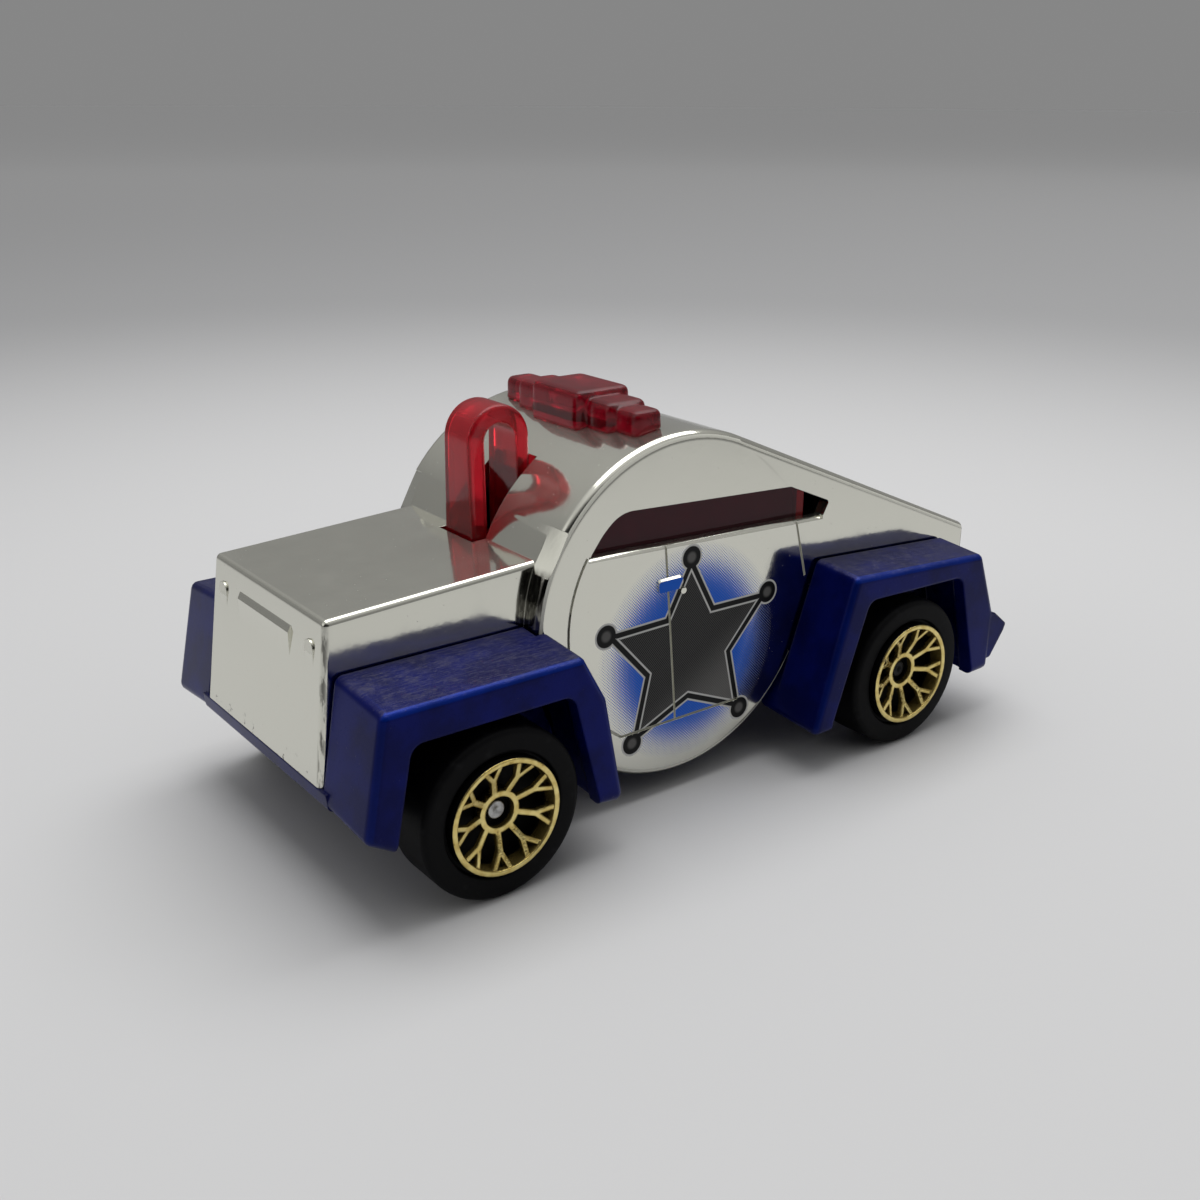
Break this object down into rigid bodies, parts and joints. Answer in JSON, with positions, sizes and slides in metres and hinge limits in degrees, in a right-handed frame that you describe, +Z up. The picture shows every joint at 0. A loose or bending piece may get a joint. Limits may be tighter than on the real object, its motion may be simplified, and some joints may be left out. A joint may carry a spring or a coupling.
{
  "type": "toy police car",
  "caption": "Pocket-size whistle-shaped toy police car: bright drum-cabin shell on a blue fendered base, red light bar and cord loop, free-rolling lattice-rim wheels.",
  "frame": {"origin": "on the ground, under the middle of the car", "axes": "+X to the nose, +Y to the left side, +Z up"},
  "size_m": [0.0704, 0.0354, 0.0344],
  "materials": {
    "bright_plating": "bright plated, mirror-like, slightly warm",
    "blue_base": "satin royal blue with a little pearl, scuffed on the fender tops",
    "clear_red": "clear red, polished",
    "steel_wire": "bright drawn wire",
    "black_wheel": "black, satin",
    "gold_rim": "bright gold plating"
  },
  "bodies": {
    "car": {"body_shell": "bright_plating", "base_chassis": "blue_base", "window_insert": "clear_red", "light_bar": "clear_red", "cord_loop": "clear_red", "base_rivets": "steel_wire"},
    "front_axle": {"front_axle": "steel_wire"},
    "rear_axle": {"rear_axle": "steel_wire"},
    "front_left_wheel": {"wheel_front_left": "black_wheel", "rim_front_left": "gold_rim"},
    "front_right_wheel": {"wheel_front_right": "black_wheel", "rim_front_right": "gold_rim"},
    "rear_left_wheel": {"wheel_rear_left": "black_wheel", "rim_rear_left": "gold_rim"},
    "rear_right_wheel": {"wheel_rear_right": "black_wheel", "rim_rear_right": "gold_rim"}
  },
  "joints": [
    {"name": "front_axle_turn", "type": "hinge", "parent": "car", "child": "front_axle", "pos_m": [0.0237, 0, 0.007], "axis": [0, 1, 0], "continuous": true},
    {"name": "rear_axle_turn", "type": "hinge", "parent": "car", "child": "rear_axle", "pos_m": [-0.0211, 0, 0.007], "axis": [0, 1, 0], "continuous": true},
    {"name": "front_left_roll", "type": "hinge", "parent": "front_axle", "child": "front_left_wheel", "pos_m": [0.0237, 0.0147, 0.007], "axis": [0, 1, 0], "continuous": true},
    {"name": "front_right_roll", "type": "hinge", "parent": "front_axle", "child": "front_right_wheel", "pos_m": [0.0237, -0.0147, 0.007], "axis": [0, 1, 0], "continuous": true},
    {"name": "rear_left_roll", "type": "hinge", "parent": "rear_axle", "child": "rear_left_wheel", "pos_m": [-0.0211, 0.0147, 0.007], "axis": [0, 1, 0], "continuous": true},
    {"name": "rear_right_roll", "type": "hinge", "parent": "rear_axle", "child": "rear_right_wheel", "pos_m": [-0.0211, -0.0147, 0.007], "axis": [0, 1, 0], "continuous": true}
  ]
}
